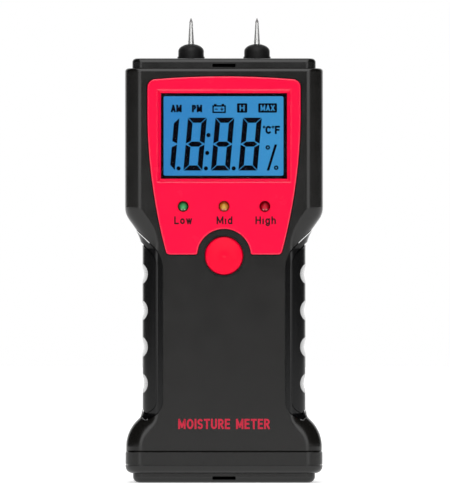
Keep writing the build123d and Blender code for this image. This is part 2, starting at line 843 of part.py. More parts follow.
# ---- Electrode block, its brass sockets, and the pins under their screw caps ----
with BuildPart() as electrode_block:
    with BuildSketch(Plane.XY.offset(head_top)):
        RectangleRounded(2 * block_half, body_depth - 2 * block_inset, block_corner)
    extrude(amount=top_spigot_height)
    fillet(electrode_block.faces().sort_by(Axis.Z)[-1].edges(), radius=block_edge_radius)
    with BuildSketch(Plane.XY.offset(block_bottom + flange_height)):
        RectangleRounded(2 * neck_half, 2 * neck_y, block_corner)
    extrude(amount=head_top - block_bottom - flange_height)
    with BuildSketch(Plane.XY.offset(block_bottom)):
        RectangleRounded(2 * flange_half, 2 * flange_y, block_corner)
    extrude(amount=flange_height)
    with BuildSketch(Plane.XY.offset(block_top)):
        with Locations((-pin_x, 0), (pin_x, 0)):
            Circle(cap_stub_radius + running_gap)
    extrude(amount=socket_top - block_top, mode=Mode.SUBTRACT)
    with BuildSketch(Plane.XY.offset(socket_top)):
        with Locations((-pin_x, 0), (pin_x, 0)):
            Circle(socket_radius + socket_gap)
    extrude(amount=block_bottom - socket_top, mode=Mode.SUBTRACT)
    add(slots(head_top + slot_rise, body_depth / 2 - block_inset), mode=Mode.SUBTRACT)
save(electrode_block, "electrode_block")

for side, side_name in ((-1, "left"), (1, "right")):
    x = side * pin_x
    pin_axis = Axis((x, 0, 0), (0, 0, 1))
    socket_low = socket_top - socket_length
    collar_low = socket_top + part_gap
    shank_low = collar_low - pin_shank_length
    pin_tip = cap_top + pin_length

    with BuildPart() as socket:
        with BuildSketch(Plane.XY.offset(socket_low)):
            with Locations((x, 0)):
                Circle(socket_radius)
        extrude(amount=socket_length)
        with BuildSketch(Plane.XY.offset(socket_top)):
            with Locations((x, 0)):
                Circle(pin_shank_radius + running_gap)
        extrude(amount=-(pin_shank_length + part_gap), mode=Mode.SUBTRACT)
        with BuildSketch(Plane.XY.offset(socket_low)):
            with Locations((x, 0)):
                Circle(socket_tail_radius)
        extrude(amount=-socket_tail_length)
    save(socket, f"socket_{side_name}")

    with BuildPart() as needle:
        with BuildSketch(Plane.XZ):
            with BuildLine():
                Polyline(
                    (x, shank_low),
                    (x + pin_shank_radius, shank_low),
                    (x + pin_shank_radius, collar_low),
                    (x + pin_collar_radius, collar_low),
                    (x + pin_collar_radius, collar_low + pin_collar_height),
                    (x + pin_radius, collar_low + pin_collar_height),
                    (x + pin_radius, cap_top),
                    (x + pin_shoulder_radius, pin_tip - pin_point_length),
                    (x + pin_tip_radius, pin_tip),
                    (x, pin_tip),
                    close=True,
                )
            make_face()
        revolve(axis=pin_axis)
    save(needle, f"needle_{side_name}")

    with BuildPart() as probe_cap:
        with BuildSketch(Plane.XZ):
            with BuildLine():
                dome_base = block_top + cap_flange_height + cap_straight
                dome = EllipticalCenterArc((x, dome_base), cap_radius, cap_dome, arc_size=90)
                Polyline(
                    dome @ 1,
                    (x, stub_floor),
                    (x + cap_stub_radius, stub_floor),
                    (x + cap_stub_radius, block_top),
                    (x + cap_flange_radius, block_top),
                    (x + cap_flange_radius, block_top + cap_flange_height),
                    (x + cap_radius, block_top + cap_flange_height),
                    dome @ 0,
                )
            make_face()
        revolve(axis=pin_axis)
        with BuildSketch(Plane.XY.offset(stub_floor)):
            with Locations((x, 0)):
                Circle(pin_radius + cap_bore_gap)
        extrude(amount=cap_top - stub_floor + beyond, mode=Mode.SUBTRACT)
    save(probe_cap, f"probe_cap_{side_name}")

    tail_low = socket_low - socket_tail_length
    with BuildPart() as electrode_lead:
        with BuildLine() as route:
            FilletPolyline(
                (x, 0, tail_low),
                (x, 0, tail_low - electrode_lead_straight),
                (x, board_back_y / 2, tail_low - electrode_lead_fall),
                (x, board_back_y, tail_low - electrode_lead_fall),
                radius=electrode_lead_bend,
            )
        with BuildSketch(Plane(origin=route.line @ 0, z_dir=route.line % 0)):
            Circle(wire_radius)
        sweep()
    save(electrode_lead, f"electrode_lead_{side_name}")

# ---- Base with its band, spigot and two snap hooks ----
with BuildPart() as base_cap:
    with BuildSketch(Plane.XY.offset(base_spigot_height)):
        RectangleRounded(2 * (foot_half + band_proud), body_depth, edge_radius)
    extrude(amount=band_height)
    fillet(base_cap.faces().sort_by(Axis.Z)[0].edges(), radius=band_low_radius)
    chamfer(base_cap.faces().sort_by(Axis.Z)[-1].edges(), length=groove_chamfer)
    crease_z = base_spigot_height + band_crease_rise
    with BuildSketch(Plane.XY.offset(crease_z - band_crease_width / 2)):
        RectangleRounded(2 * (foot_half + band_proud) + beyond, body_depth + beyond, edge_radius)
        RectangleRounded(
            2 * (foot_half + band_proud - band_crease_depth),
            body_depth - 2 * band_crease_depth,
            edge_radius,
            mode=Mode.SUBTRACT,
        )
    extrude(amount=band_crease_width, mode=Mode.SUBTRACT)
    with BuildSketch():
        RectangleRounded(2 * base_spigot_half, body_depth - 2 * base_spigot_inset, base_corner)
    extrude(amount=base_spigot_height)
    fillet(base_cap.faces().sort_by(Axis.Z)[0].edges(), radius=base_spigot_edge)
    with BuildSketch(Plane.XY.offset(base_floor)):
        RectangleRounded(2 * base_hollow_half, 2 * base_hollow_y, base_corner)
    extrude(amount=body_base, mode=Mode.SUBTRACT)
    with BuildSketch(Plane.XY.offset(base_floor)):
        with Locations((-base_hook_x, 0), (base_hook_x, 0)):
            Rectangle(*base_hook_size)
    extrude(amount=body_base + wall + part_gap - base_floor)
    with BuildSketch(Plane.XY.offset(body_base + wall + part_gap)):
        with Locations((-base_hook_x, 0), (base_hook_x, 0)):
            Rectangle(base_hook_size[0] + 2 * base_hook_lip, base_hook_size[1])
    extrude(amount=base_hook_head)
    add(slots(base_slot_rise, body_depth / 2 - base_spigot_inset), mode=Mode.SUBTRACT)
save(base_cap, "base_cap")

# ---- Side inserts ----
# a scoop's profile is swept round a vertical ring so wide that it is deeper at the corner than at the side
scoop_round = ((scoop_height / 2) ** 2 + scoop_corner_depth**2) / (2 * scoop_corner_depth)
corner_y = body_depth / 2 - edge_radius
scoop_ring_radius = corner_y**2 / (2 * (scoop_corner_depth - scoop_side_depth))
scoop_axis_x = waist_half - scoop_side_depth - scoop_ring_radius
scoop_places = [
    (waist_half - scoop_side_depth + scoop_round, first_scoop + i * scoop_pitch) for i in range(scoop_count)
]
with BuildPart() as bead_groove:
    add(grip_layer(-bead_width, None, bead_groove_depth))
    extrude(grip_outline(-bead_width - bead_groove_width), amount=body_depth, both=True, mode=Mode.SUBTRACT)
with BuildPart() as grip_right:
    add(grip_layer(0, -bead_height, grip_depth))
    add(grip_layer(-bead_width, None, 0), mode=Mode.SUBTRACT)
    add(bead_groove.part, mode=Mode.SUBTRACT)
    with BuildSketch(Plane.XZ):
        with Locations(*scoop_places):
            Circle(scoop_round)
    revolve(axis=Axis((scoop_axis_x, 0, 0), (0, 0, 1)), mode=Mode.SUBTRACT)
    with Locations(*peg_locations()):
        Cylinder(
            peg_radius,
            grip_backing + peg_reach + peg_root,
            align=(Align.CENTER, Align.CENTER, Align.MIN),
        )
save(grip_right, "grip_right")

with BuildPart() as grip_left:
    mirror(grip_right.part, about=Plane.YZ)
save(grip_left, "grip_left")

# ---- Battery door: its rounded lower edge is the pivot, held by two hooks behind the shell's wall ----
pivot_radius = door_thickness / 2
pivot_y = back_y - pivot_radius
pivot_z = door_low + pivot_radius
hook_back = back_y - wall - hook_gap
stem_z = door_low + hook_stem_rise + hook_stem_height / 2
with BuildPart() as battery_door:
    with BuildSketch(facing_front(back_y)) as plate:
        with Locations((0, (pivot_z + door_high) / 2)):
            Rectangle(2 * door_half, door_high - pivot_z)
        fillet(plate.vertices().group_by(Axis.Y)[-1], radius=door_corner)
    extrude(amount=door_thickness)
    with Locations(Location((0, pivot_y, pivot_z), (0, 90, 0))):
        Cylinder(pivot_radius, 2 * door_half)
    with Locations((0, back_y + thumb_radius - thumb_depth, door_high + thumb_rise)):
        Sphere(thumb_radius, mode=Mode.SUBTRACT)
    for side in (-1, 1):
        with Locations((side * hook_x, (hook_back - hook_thickness + pivot_y) / 2, stem_z)):
            Box(2 * hook_half, pivot_y - hook_back + hook_thickness, hook_stem_height)
        with Locations((side * hook_x, hook_back - hook_thickness / 2, stem_z - hook_reach / 2)):
            Box(2 * hook_half, hook_thickness, hook_stem_height + hook_reach)
    with BuildSketch(facing_front(back_y + door_rib_height)):
        with Locations((0, door_high - door_rib_drop)):
            with GridLocations(1, door_rib_pitch, 1, door_rib_count):
                SlotOverall(*door_rib_size)
    extrude(amount=door_rib_height)
save(battery_door, "battery_door")

# ---- Cells, springs and contact plates ----
plate_low = compartment_low
plate_high = compartment_high - contact_thickness
for i, cell_x in enumerate(cell_places):
    nub_up = i != 1
    with BuildPart() as cell:
        body_low = plate_low + contact_thickness + (spring_height if nub_up else cell_nub_height)
        with BuildSketch(Plane.XY.offset(body_low)):
            with Locations((cell_x, cell_y)):
                Circle(cell_radius)
        extrude(amount=cell_length - cell_nub_height)
        fillet(cell.edges().filter_by(GeomType.CIRCLE), radius=cell_edge_radius)
        nub_low = body_low + cell_length - cell_nub_height if nub_up else body_low - cell_nub_height
        with BuildSketch(Plane.XY.offset(nub_low)):
            with Locations((cell_x, cell_y)):
                Circle(cell_nub_radius)
        extrude(amount=cell_nub_height)
    save(cell, f"battery_cell_{i + 1}")

    spring_low = plate_low + contact_thickness if nub_up else plate_high - spring_height
    with BuildPart() as battery_spring:
        with BuildLine() as coil:
            Helix(
                pitch=spring_pitch,
                height=spring_height - 2 * spring_wire,
                radius=spring_radius,
                center=(cell_x, cell_y, spring_low + spring_wire),
            )
        with BuildSketch(Plane(origin=coil.line @ 0, z_dir=coil.line % 0)):
            Circle(spring_wire)
        sweep(is_frenet=True)
    save(battery_spring, f"battery_spring_{i + 1}")

contacts = {
    "contact_bridge_bottom": (plate_low, cell_places[0] - contact_half, cell_places[1] + contact_half),
    "contact_negative": (plate_low, cell_places[2] - contact_half, cell_places[2] + contact_half),
    "contact_positive": (plate_high, cell_places[0] - contact_half, cell_places[0] + contact_half),
    "contact_bridge_top": (plate_high, cell_places[1] - contact_half, cell_places[2] + contact_half),
}
for contact_name, (level, x_low, x_high) in contacts.items():
    with BuildPart() as contact:
        with BuildSketch(Plane.XY.offset(level)):
            with Locations(((x_low + x_high) / 2, cell_y)):
                RectangleRounded(x_high - x_low, 2 * contact_half, radius=contact_corner)
        extrude(amount=contact_thickness)
    save(contact, contact_name)

# ---- Leads from the end contacts to the board ----
lead_routes = {
    "battery_lead_positive": [
        (cell_places[0], cell_y, compartment_high),
        (cell_places[0], cell_y, compartment_high + lead_climb[0]),
        (cell_places[0], board_back_y + lead_board_gap[0], compartment_high + lead_climb[1]),
        (cell_places[0], board_back_y, compartment_high + lead_climb[1]),
    ],
    "battery_lead_negative": [
        (cell_places[-1], cell_y, compartment_low),
        (cell_places[-1], cell_y, compartment_low - lead_drop),
        (cell_places[-1], board_back_y + lead_board_gap[1], compartment_low - lead_drop),
        (cell_places[-1], board_back_y + lead_board_gap[1], board_bottom + lead_board_rise),
        (cell_places[-1], board_back_y, board_bottom + lead_board_rise),
    ],
}
for lead_name, route_points in lead_routes.items():
    with BuildPart() as battery_lead:
        with BuildLine() as route:
            FilletPolyline(*route_points, radius=wire_bend)
        with BuildSketch(Plane(origin=route.line @ 0, z_dir=route.line % 0)):
            Circle(wire_radius)
        sweep()
    save(battery_lead, lead_name)

# ---- Fasteners ----
def screws(places, head, head_y, shank_radius, tip_y, drive):
    """Pan-head cross-recess screws along Y: the head starts at head_y, and the tip points at the front."""
    head_radius, head_height = head
    drive_length, drive_depth, drive_width = drive
    with BuildPart() as set_of_screws:
        add(cylinders(head_radius, head_y, head_y + head_height, places))
        add(cylinders(shank_radius, tip_y, head_y, places))
        for x, z in places:
            for turn in (0, 90):
                with Locations(Location((x, head_y + head_height, z), (0, turn, 0))):
                    Box(drive_length, 2 * drive_depth, drive_width, mode=Mode.SUBTRACT)
    return set_of_screws


housing_head = (screw_head_radius, screw_head_height)
save(
    screws(housing_screws_at, housing_head, screw_seat_y, screw_radius, -screw_bite, screw_drive),
    "housing_screws",
)
board_head = (board_screw_head_radius, board_screw_head_height)
board_tip_y = board_y - board_screw_length + board_screw_end_gap
save(
    screws(board_screws_at, board_head, board_back_y, board_screw_radius, board_tip_y, board_screw_drive),
    "board_screws",
)
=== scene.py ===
import math

import bmesh
import bpy
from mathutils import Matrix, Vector


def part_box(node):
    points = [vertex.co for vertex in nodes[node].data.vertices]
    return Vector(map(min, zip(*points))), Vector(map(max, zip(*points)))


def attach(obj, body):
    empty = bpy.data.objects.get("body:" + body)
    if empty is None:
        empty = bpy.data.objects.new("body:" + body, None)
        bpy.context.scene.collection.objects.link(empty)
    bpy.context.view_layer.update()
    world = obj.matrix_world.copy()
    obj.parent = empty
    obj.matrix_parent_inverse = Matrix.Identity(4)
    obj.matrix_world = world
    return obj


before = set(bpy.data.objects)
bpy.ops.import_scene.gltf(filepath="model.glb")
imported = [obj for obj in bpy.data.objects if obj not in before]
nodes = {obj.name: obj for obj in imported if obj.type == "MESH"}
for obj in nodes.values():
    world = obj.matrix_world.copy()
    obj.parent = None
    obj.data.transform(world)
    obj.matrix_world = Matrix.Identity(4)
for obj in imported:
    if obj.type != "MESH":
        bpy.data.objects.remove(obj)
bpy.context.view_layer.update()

# A hand-held two-pin moisture meter on a pale floor. Everything is in metres, in the frame of the CAD
# model: +Z up along the pins, the display faces -Y, the origin is the centre of the base.
MM = 0.001


# ---------------------------------------------------------------- materials
class Paint:
    """A Principled material that is put together node by node."""

    def __init__(self, name):
        self.material = bpy.data.materials.new(name)
        self.material.use_nodes = True
        self.tree = self.material.node_tree
        self.shader = self.tree.nodes["Principled BSDF"]
        self.place = self.add("ShaderNodeTexCoord").outputs["Object"]

    def add(self, kind, **settings):
        node = self.tree.nodes.new(kind)
        for key, value in settings.items():
            setattr(node, key, value)
        return node

    def link(self, source, target):
        self.tree.links.new(source, target)

    def set(self, **values):
        """Constants on the shader's own sockets, named with underscores for spaces."""
        for key, value in values.items():
            socket = self.shader.inputs[key.replace("_", " ")]
            socket.default_value = (*value, 1.0) if isinstance(value, tuple) else value
        return self

    def noise(self, size, detail=2.0, stretch=None):
        """Noise whose features are about this size in metres, as a 0 to 1 value."""
        node = self.add("ShaderNodeTexNoise")
        node.inputs["Scale"].default_value = 1.0 / size
        node.inputs["Detail"].default_value = detail
        if stretch:
            mapping = self.add("ShaderNodeMapping")
            mapping.inputs["Scale"].default_value = stretch
            self.link(self.place, mapping.inputs["Vector"])
            self.link(mapping.outputs["Vector"], node.inputs["Vector"])
        else:
            self.link(self.place, node.inputs["Vector"])
        return node.outputs["Fac"]

    def span(self, source, low, high, from_low=0.3, from_high=0.7):
        """A value carried from one range to another, clamped."""
        node = self.add("ShaderNodeMapRange")
        node.inputs["From Min"].default_value = from_low
        node.inputs["From Max"].default_value = from_high
        node.inputs["To Min"].default_value = low
        node.inputs["To Max"].default_value = high
        self.link(source, node.inputs["Value"])
        return node.outputs["Result"]

    def mix(self, factor, dark, light):
        """Two colours, or colour outputs, mixed by a factor."""
        node = self.add("ShaderNodeMix", data_type="RGBA")
        self.link(factor, node.inputs["Factor"])
        for value, key in ((dark, 6), (light, 7)):
            if isinstance(value, tuple):
                node.inputs[key].default_value = (*value, 1.0)
            else:
                self.link(value, node.inputs[key])
        return node.outputs[2]

    def axis(self, letter):
        """One coordinate of the point, in metres."""
        node = self.add("ShaderNodeSeparateXYZ")
        self.link(self.place, node.inputs[0])
        return node.outputs[letter]

    def math(self, operation, a, b=None):
        node = self.add("ShaderNodeMath", operation=operation)
        for value, socket in ((a, node.inputs[0]), (b, node.inputs[1])):
            if value is None:
                continue
            if isinstance(value, (int, float)):
                socket.default_value = value
            else:
                self.link(value, socket)
        return node.outputs[0]

    def bump(self, height, depth, strength=1.0, onto=None):
        """Surface relief of a depth in metres, stacked on an earlier one."""
        node = self.add("ShaderNodeBump")
        node.inputs["Strength"].default_value = strength
        node.inputs["Distance"].default_value = depth
        self.link(height, node.inputs["Height"])
        if onto:
            self.link(onto, node.inputs["Normal"])
        self.link(node.outputs["Normal"], self.shader.inputs["Normal"])
        return node.outputs["Normal"]

    def colour(self, source):
        self.link(source, self.shader.inputs["Base Color"])
        return self

    def rough(self, source):
        self.link(source, self.shader.inputs["Roughness"])
        return self


def moulded(
    name, colour, roughness, grain=0.25 * MM, depth=0.006 * MM, spread=0.12,
    specular=0.5, coat=0.0, shine=0.08,
):
    """Injection-moulded plastic: a fine grain, slow drifts of shade, and a slightly uneven gloss."""
    paint = Paint(name)
    darker = tuple(c * (1 - spread) for c in colour)
    lighter = tuple(min(1.0, c * (1 + spread)) for c in colour)
    drift = paint.noise(18 * MM, 3.0)
    paint.colour(paint.mix(paint.span(drift, 0.0, 1.0), darker, lighter))
    smudge = paint.noise(7 * MM, 4.0)
    paint.rough(paint.span(smudge, roughness * 0.9, roughness * 1.12))
    paint.bump(paint.noise(grain, 2.0), depth, 0.6)
    paint.set(Specular_IOR_Level=specular, Coat_Weight=coat, Coat_Roughness=shine)
    return paint.material


def metal(name, colour, roughness, brush=(1.0, 1.0, 1.0)):
    """Turned or rolled metal with fine brush lines."""
    paint = Paint(name)
    lines = paint.noise(0.12 * MM, 2.0, stretch=brush)
    darker = tuple(c * 0.82 for c in colour)
    paint.colour(paint.mix(paint.span(lines, 0.0, 1.0), darker, colour))
    paint.rough(paint.span(lines, roughness * 0.8, roughness * 1.3))
    paint.bump(lines, 0.004 * MM, 0.5)
    paint.set(Metallic=1.0)
    return paint.material


def needle_steel(tip_z, point_length):
    """Ground steel, bright along the shank and darker on the sharpened point."""
    paint = Paint("needle_steel")
    grind = paint.noise(0.1 * MM, 2.0, stretch=(1.0, 1.0, 6.0))
    steel = paint.mix(paint.span(grind, 0.0, 1.0), (0.66, 0.66, 0.65), (0.84, 0.84, 0.83))
    near_tip = paint.span(paint.axis("Z"), 0.0, 1.0, tip_z - 1.3 * point_length, tip_z - 0.9 * point_length)
    paint.colour(paint.mix(near_tip, steel, (0.30, 0.29, 0.29)))
    paint.rough(paint.span(grind, 0.34, 0.46))
    paint.bump(grind, 0.003 * MM, 0.5)
    paint.set(Metallic=1.0)
    return paint.material


def backlit(name, dim, bright, strength):
    """The display's lit blue field, a little brighter towards the right, as from a side-lit guide."""
    paint = Paint(name)
    across = paint.span(paint.axis("X"), 0.0, 1.0, -19 * MM, 19 * MM)
    cloud = paint.span(paint.noise(9 * MM, 2.0), -0.15, 0.15)
    field = paint.mix(paint.math("ADD", across, cloud), dim, bright)
    paint.link(field, paint.shader.inputs["Emission Color"])
    paint.set(Base_Color=(0.01, 0.02, 0.03), Emission_Strength=strength, Specular_IOR_Level=0.1)
    paint.rough(paint.span(paint.noise(2 * MM, 2.0), 0.3, 0.4))
    paint.bump(paint.noise(0.15 * MM, 1.0), 0.002 * MM, 0.3)
    return paint.material


def ink(name, colour, roughness=0.5, specular=0.03):
    """Printed or liquid-crystal ink: nearly even, with a trace of mottling."""
    paint = Paint(name)
    speckle = paint.noise(0.3 * MM, 2.0)
    paint.colour(paint.mix(paint.span(speckle, 0.0, 1.0), tuple(c * 0.9 for c in colour), colour))
    paint.rough(paint.span(speckle, roughness * 0.9, roughness * 1.1))
    paint.set(Specular_IOR_Level=specular)
    return paint.material


def clear_window():
    """Clear acrylic with a faint blue cast and a slightly uneven gloss."""
    paint = Paint("clear_window")
    haze = paint.noise(4 * MM, 4.0)
    paint.rough(paint.span(haze, 0.03, 0.06))
    paint.colour(paint.mix(haze, (0.93, 0.96, 1.0), (0.97, 0.99, 1.0)))
    paint.set(Transmission_Weight=1.0, IOR=1.25)
    return paint.material


def lamp(name, dark, light, centre_x, centre_z, radius):
    """Tinted epoxy lamp: deeper tint at its rim, paler over the die, with a soft gloss."""
    paint = Paint(name)
    off_x = paint.math("SUBTRACT", paint.axis("X"), centre_x)
    off_z = paint.math("SUBTRACT", paint.axis("Z"), centre_z - 0.25 * radius)
    squares = paint.math("ADD", paint.math("MULTIPLY", off_x, off_x), paint.math("MULTIPLY", off_z, off_z))
    rim = paint.span(paint.math("SQRT", squares), 0.0, 1.0, 0.15 * radius, 0.95 * radius)
    mottle = paint.span(paint.noise(0.5 * MM, 2.0), -0.12, 0.12)
    body = paint.mix(paint.math("ADD", rim, mottle), light, dark)
    # the two lead posts show as small pale marks low in the lamp
    aside = paint.math("SUBTRACT", paint.math("ABSOLUTE", off_x), 0.32 * radius)
    below = paint.math("ADD", off_z, 0.42 * radius)
    spread = paint.math("ADD", paint.math("MULTIPLY", aside, aside), paint.math("MULTIPLY", below, below))
    posts = paint.span(paint.math("SQRT", spread), 0.75, 0.0, 0.10 * radius, 0.26 * radius)
    paint.colour(paint.mix(posts, body, tuple(0.45 + 0.5 * c for c in light)))
    paint.set(Subsurface_Weight=0.2, Subsurface_Scale=0.4 * MM, Specular_IOR_Level=0.2)
    paint.rough(paint.span(paint.noise(1.5 * MM, 2.0), 0.25, 0.35))
    return paint.material


def circuit_board():
    """Green solder mask over a grid of raised copper tracks."""
    paint = Paint("circuit_board")
    tracks = paint.add("ShaderNodeTexBrick")
    tracks.inputs["Scale"].default_value = 120.0
    tracks.inputs["Mortar Size"].default_value = 0.03
    turned = paint.add("ShaderNodeMapping")
    turned.inputs["Rotation"].default_value = (math.pi / 2, 0, 0)
    paint.link(paint.place, turned.inputs["Vector"])
    paint.link(turned.outputs["Vector"], tracks.inputs["Vector"])
    mask = paint.mix(tracks.outputs["Fac"], (0.006, 0.10, 0.035), (0.012, 0.20, 0.07))
    grain = paint.noise(0.6 * MM, 2.0)
    paint.colour(paint.mix(paint.span(grain, 0.0, 0.25), mask, (0.01, 0.07, 0.03)))
    paint.bump(tracks.outputs["Fac"], 0.02 * MM, 0.6)
    paint.rough(paint.span(grain, 0.25, 0.4))
    return paint.material


def cell_sleeve(low_z, high_z):
    """Shrink sleeve of a battery cell: a plain blue body with a copper-coloured end band."""
    paint = Paint("cell_sleeve")
    height = paint.span(paint.axis("Z"), 0.0, 1.0, low_z, high_z)
    band = paint.math("GREATER_THAN", height, 0.72)
    shrink = paint.noise(1.2 * MM, 3.0, stretch=(1.0, 1.0, 0.3))
    blue = paint.mix(paint.span(shrink, 0.0, 1.0), (0.02, 0.08, 0.22), (0.03, 0.11, 0.28))
    paint.colour(paint.mix(band, blue, (0.62, 0.33, 0.14)))
    paint.rough(paint.span(shrink, 0.22, 0.36))
    paint.bump(shrink, 0.01 * MM, 0.3)
    return paint.material


def floor_paint():
    """A plain pale studio floor."""
    paint = Paint("floor_paint")
    cloud = paint.noise(300 * MM, 2.0)
    paint.colour(paint.mix(cloud, (0.90, 0.90, 0.90), (0.93, 0.93, 0.93)))
    paint.set(Roughness=0.9, Specular_IOR_Level=0.0, Emission_Color=(1.0, 1.0, 1.0), Emission_Strength=0.6)
    return paint.material


def finish_nodes(material, *names):
    """Gives CAD nodes their finished material."""
    for name in names:
        slots = nodes[name].data.materials
        slots.clear()
        slots.append(material)


shell_black = moulded("shell_black", (0.0058, 0.0054, 0.0048), 0.18, specular=0.46)
base_black = moulded("base_black", (0.0060, 0.0060, 0.0054), 0.18, specular=0.46)
block_black = moulded("block_black", (0.0052, 0.0052, 0.0048), 0.22, specular=0.46)
cap_grain = {"grain": 0.35 * MM, "depth": 0.012 * MM}
cap_black = moulded("cap_black", (0.010, 0.010, 0.010), 0.5, specular=0.25, **cap_grain)
grip_grain = {"grain": 0.5 * MM, "depth": 0.002 * MM}
grip_black = moulded("grip_black", (0.0016, 0.0016, 0.0018), 0.2, specular=0.08, coat=0.5, **grip_grain)
red_grain = {"grain": 0.6 * MM, "depth": 0.0015 * MM, "spread": 0.03}
fascia_red = moulded(
    "fascia_red", (0.97, 0.0020, 0.052), 0.25, specular=0.10, coat=1.0, shine=0.04, **red_grain,
)
button_red = moulded(
    "button_red", (0.97, 0.0008, 0.034), 0.3, specular=0.04, coat=0.12, shine=0.2, **red_grain,
)
holder_white = moulded("holder_white", (0.62, 0.62, 0.58), 0.5)
connector_rubber = moulded("connector_rubber", (0.05, 0.05, 0.06), 0.7)
chip_black = moulded("chip_black", (0.015, 0.015, 0.016), 0.45)
guide_blue = moulded("guide_blue", (0.35, 0.6, 0.9), 0.3)
wire_red = moulded("wire_red", (0.45, 0.015, 0.012), 0.4)
wire_black = moulded("wire_black", (0.012, 0.012, 0.012), 0.4)
lcd_dark = moulded("lcd_dark", (0.006, 0.008, 0.012), 0.25)
brass = metal("brass", (0.80, 0.58, 0.27), 0.3, brush=(1.0, 1.0, 8.0))
nickel = metal("nickel", (0.74, 0.73, 0.70), 0.28)
zinc = metal("zinc", (0.60, 0.60, 0.60), 0.34)
can_steel = metal("can_steel", (0.66, 0.66, 0.67), 0.25, brush=(1.0, 6.0, 1.0))

needle_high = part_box("needle_left")[1]
pin_point_length = 1.2 * MM
finish_nodes(shell_black, "front_shell", "rear_shell", "battery_door")
finish_nodes(base_black, "base_cap")
finish_nodes(block_black, "electrode_block")
finish_nodes(cap_black, "probe_cap_left", "probe_cap_right")
finish_nodes(grip_black, "grip_left", "grip_right")
finish_nodes(fascia_red, "fascia")
finish_nodes(button_red, "power_button")
finish_nodes(clear_window(), "display_lens")
finish_nodes(lcd_dark, "lcd_panel")
finish_nodes(guide_blue, "lcd_backlight")
finish_nodes(holder_white, "lcd_holder")
finish_nodes(connector_rubber, "zebra_strip")
finish_nodes(circuit_board(), "main_board")
finish_nodes(
    chip_black,
    "mcu_chip", "board_resistors", "switch_body", "switch_plunger", "beeper", "temperature_sensor",
)
finish_nodes(can_steel, "clock_crystal")
finish_nodes(needle_steel(needle_high.z, pin_point_length), "needle_left", "needle_right")
finish_nodes(brass, "socket_left", "socket_right")
finish_nodes(
    nickel,
    "battery_spring_1", "battery_spring_2", "battery_spring_3",
    "contact_bridge_bottom", "contact_bridge_top", "contact_negative", "contact_positive",
)
finish_nodes(zinc, "housing_screws", "board_screws")
cell_low, cell_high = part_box("battery_cell_1")
finish_nodes(cell_sleeve(cell_low.z, cell_high.z), "battery_cell_1", "battery_cell_2", "battery_cell_3")
finish_nodes(wire_red, "battery_lead_positive", "electrode_lead_left", "electrode_lead_right")
finish_nodes(wire_black, "battery_lead_negative")

lamp_tints = {
    "led_low": ((0.008, 0.15, 0.040), (0.07, 0.42, 0.14)),
    "led_mid": ((0.34, 0.11, 0.005), (0.66, 0.38, 0.07)),
    "led_high": ((0.20, 0.0, 0.005), (0.58, 0.003, 0.022)),
}
lamp_radius = 1.5 * MM
for lamp_name, (dark_tint, light_tint) in lamp_tints.items():
    low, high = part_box(lamp_name)
    centre = (low + high) / 2
    tint = lamp(f"{lamp_name}_tint", dark_tint, light_tint, centre.x, centre.z, lamp_radius)
    finish_nodes(tint, lamp_name)


# ---------------------------------------------------------------- mesh helpers
def new_piece(name, mesh, material, body):
    """Links a mesh as a piece of the object that rides on a body."""
    piece = bpy.data.objects.new(name, mesh)
    bpy.context.scene.collection.objects.link(piece)
    piece.data.materials.append(material)
    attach(piece, body)
    return piece


PLATE_STEP = 0.0004 * MM     # between the planes of one piece's outlines
PLATE_STEPS = 16


def plates(name, outlines, face_y, thickness, material, body):
    """Thin plates facing -Y, one for each outline of (x, z) points in metres, joined into one piece.
    Outlines that cross don't share a plane."""
    bm = bmesh.new()
    for order, outline in enumerate(outlines):
        lifted = face_y - PLATE_STEP * (order % PLATE_STEPS)
        front = [bm.verts.new((x, lifted, z)) for x, z in outline]
        back = [bm.verts.new((x, face_y + thickness, z)) for x, z in outline]
        bm.faces.new(front)
        bm.faces.new(list(reversed(back)))
        count = len(outline)
        for i in range(count):
            j = (i + 1) % count
            bm.faces.new((front[i], back[i], back[j], front[j]))
    bmesh.ops.recalc_face_normals(bm, faces=bm.faces)
    mesh = bpy.data.meshes.new(name)
    bm.to_mesh(mesh)
    bm.free()
    return new_piece(name, mesh, material, body)


def disc_outline(x, z, radius, steps=24):
    return [
        (x + radius * math.cos(2 * math.pi * i / steps), z + radius * math.sin(2 * math.pi * i / steps))
        for i in range(steps)
    ]


def rounded_outline(x, z, width, height, radius, steps=6):
    """A rectangle with rounded corners, by its centre and size."""
    points = []
    for quarter, (sx, sz) in enumerate(((1, 1), (-1, 1), (-1, -1), (1, -1))):
        cx = x + sx * (width / 2 - radius)
        cz = z + sz * (height / 2 - radius)
        for i in range(steps + 1):
            angle = math.pi / 2 * (quarter + i / steps)
            points.append((cx + radius * math.cos(angle), cz + radius * math.sin(angle)))
    return points


def band_outlines(outer, inner):
    """The ring between two outlines with equal point counts, as quads."""
    count = len(outer)
    return [
        [outer[i], outer[(i + 1) % count], inner[(i + 1) % count], inner[i]] for i in range(count)
    ]


# Plain stroke letters on a grid: each glyph is its width and its strokes as (x, z) points, with the
# baseline at 0 and a capital 1 high. A small letter is X_HEIGHT high.
X_HEIGHT = 0.7
LETTER_GAP = 0.22
MITRE_LIMIT = 0.7


def arc(cx, cz, rx, rz, start, end, steps=10):
    """Points of an elliptical arc, with its angles in degrees."""
    turns = [math.radians(start + (end - start) * i / steps) for i in range(steps + 1)]
    return [(cx + rx * math.cos(t), cz + rz * math.sin(t)) for t in turns]


def zigzag(*points):
    """A line with sharp bends, as one stroke for each of its runs."""
    return [list(run) for run in zip(points, points[1:])]


